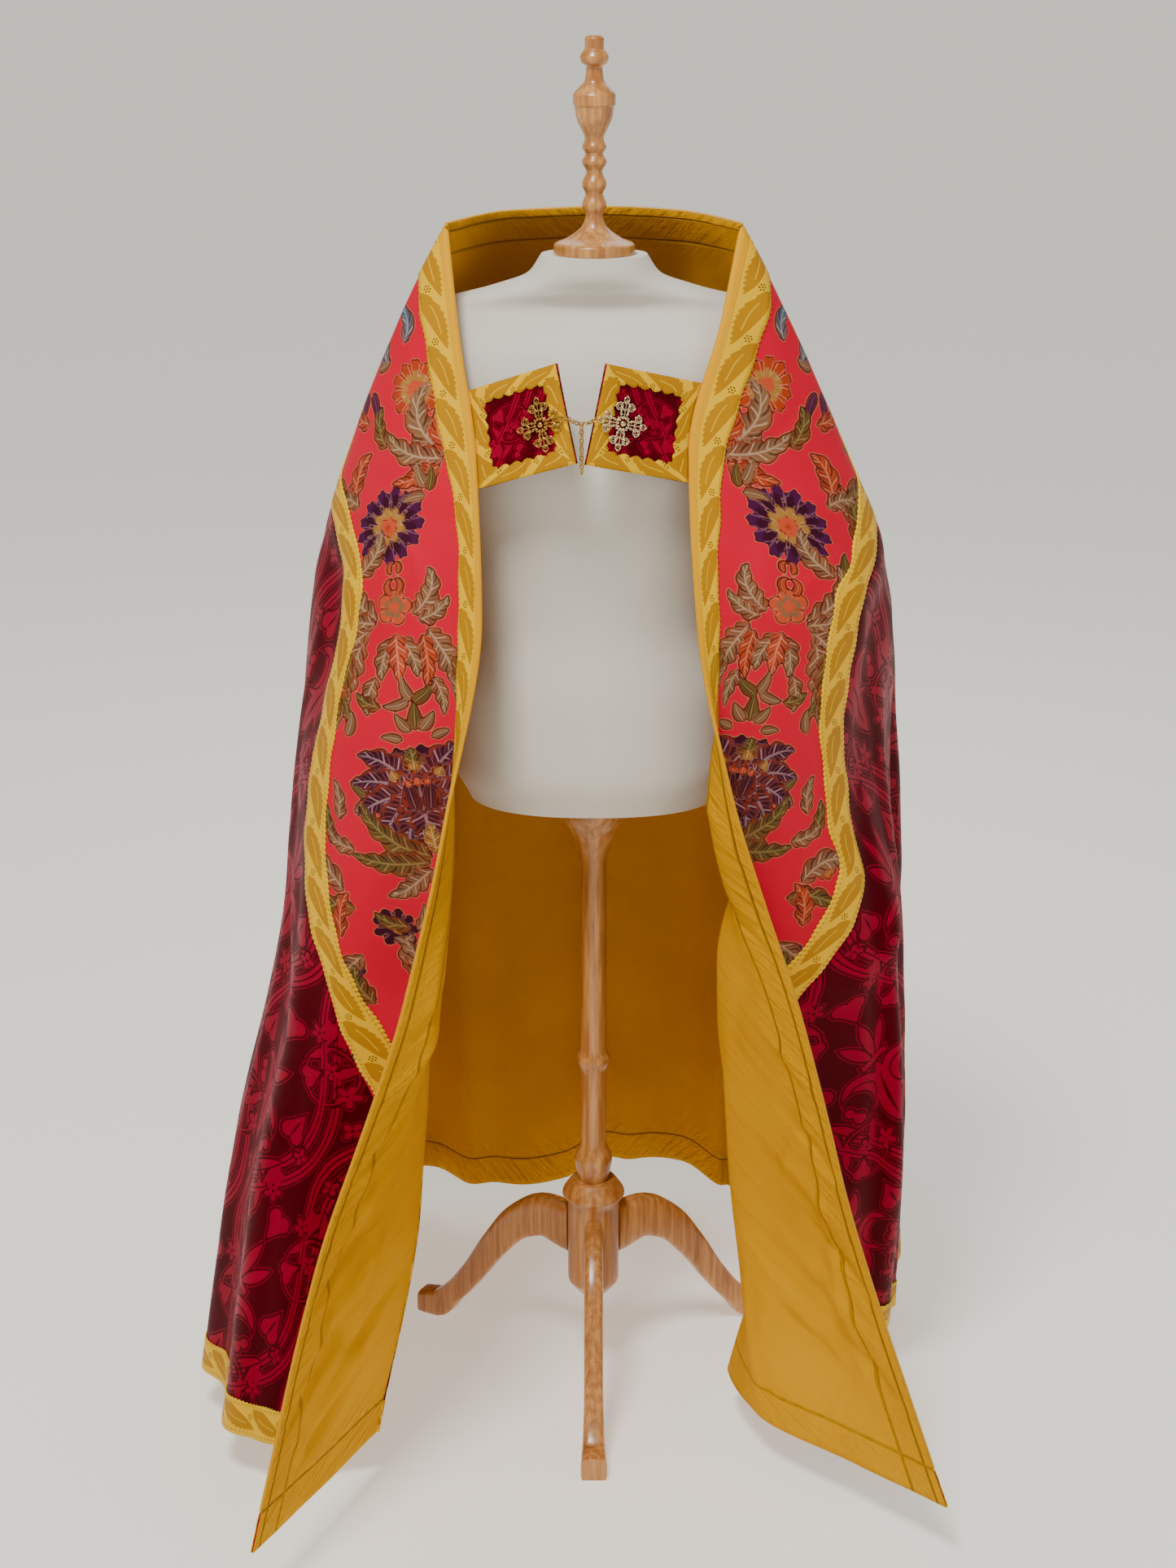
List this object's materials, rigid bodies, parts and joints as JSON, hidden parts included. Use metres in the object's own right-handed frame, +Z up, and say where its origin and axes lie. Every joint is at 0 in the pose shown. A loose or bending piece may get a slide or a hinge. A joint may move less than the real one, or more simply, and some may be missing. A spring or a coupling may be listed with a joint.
{
  "type": "cope vestment on dress form stand",
  "caption": "Half-round liturgical cope, lined and trimmed with galloon, worn open on a limbless dress form with a turned wooden tripod stand, joined by a chain clasp on the chest.",
  "frame": {"origin": "middle of the part's box, on the floor", "axes": "+Z up, the garment opens towards -Y, +X to the right as seen from the front"},
  "size_m": [0.9224, 0.9631, 1.676],
  "materials": {
    "mustard_lining": "matte",
    "crimson_damask": "satin damask",
    "red_brocade": "woven",
    "gold_galloon": "woven silk",
    "gilt_metal": "bright pierced",
    "form_linen": "matte",
    "varnished_oak": "satin varnish"
  },
  "bodies": {
    "root": {"lining_left": "mustard_lining", "shell_left": "crimson_damask", "orphrey_left": "red_brocade", "galloon_edge_left": "gold_galloon", "galloon_outer_left": "gold_galloon", "galloon_hem_left": "gold_galloon", "morse_tab_left": "crimson_damask", "morse_galloon_left": "gold_galloon", "clasp_left": "gilt_metal", "lining_right": "mustard_lining", "shell_right": "crimson_damask", "orphrey_right": "red_brocade", "galloon_edge_right": "gold_galloon", "galloon_outer_right": "gold_galloon", "galloon_hem_right": "gold_galloon", "morse_tab_right": "crimson_damask", "morse_galloon_right": "gold_galloon", "clasp_right": "gilt_metal", "clasp_chain": "gilt_metal", "clasp_chain_end": "gilt_metal", "form_torso": "form_linen", "neck_post": "varnished_oak", "stand_pole": "varnished_oak", "tripod_hub": "varnished_oak", "tripod_leg_1": "varnished_oak", "tripod_leg_2": "varnished_oak", "tripod_leg_3": "varnished_oak"}
  },
  "joints": []
}
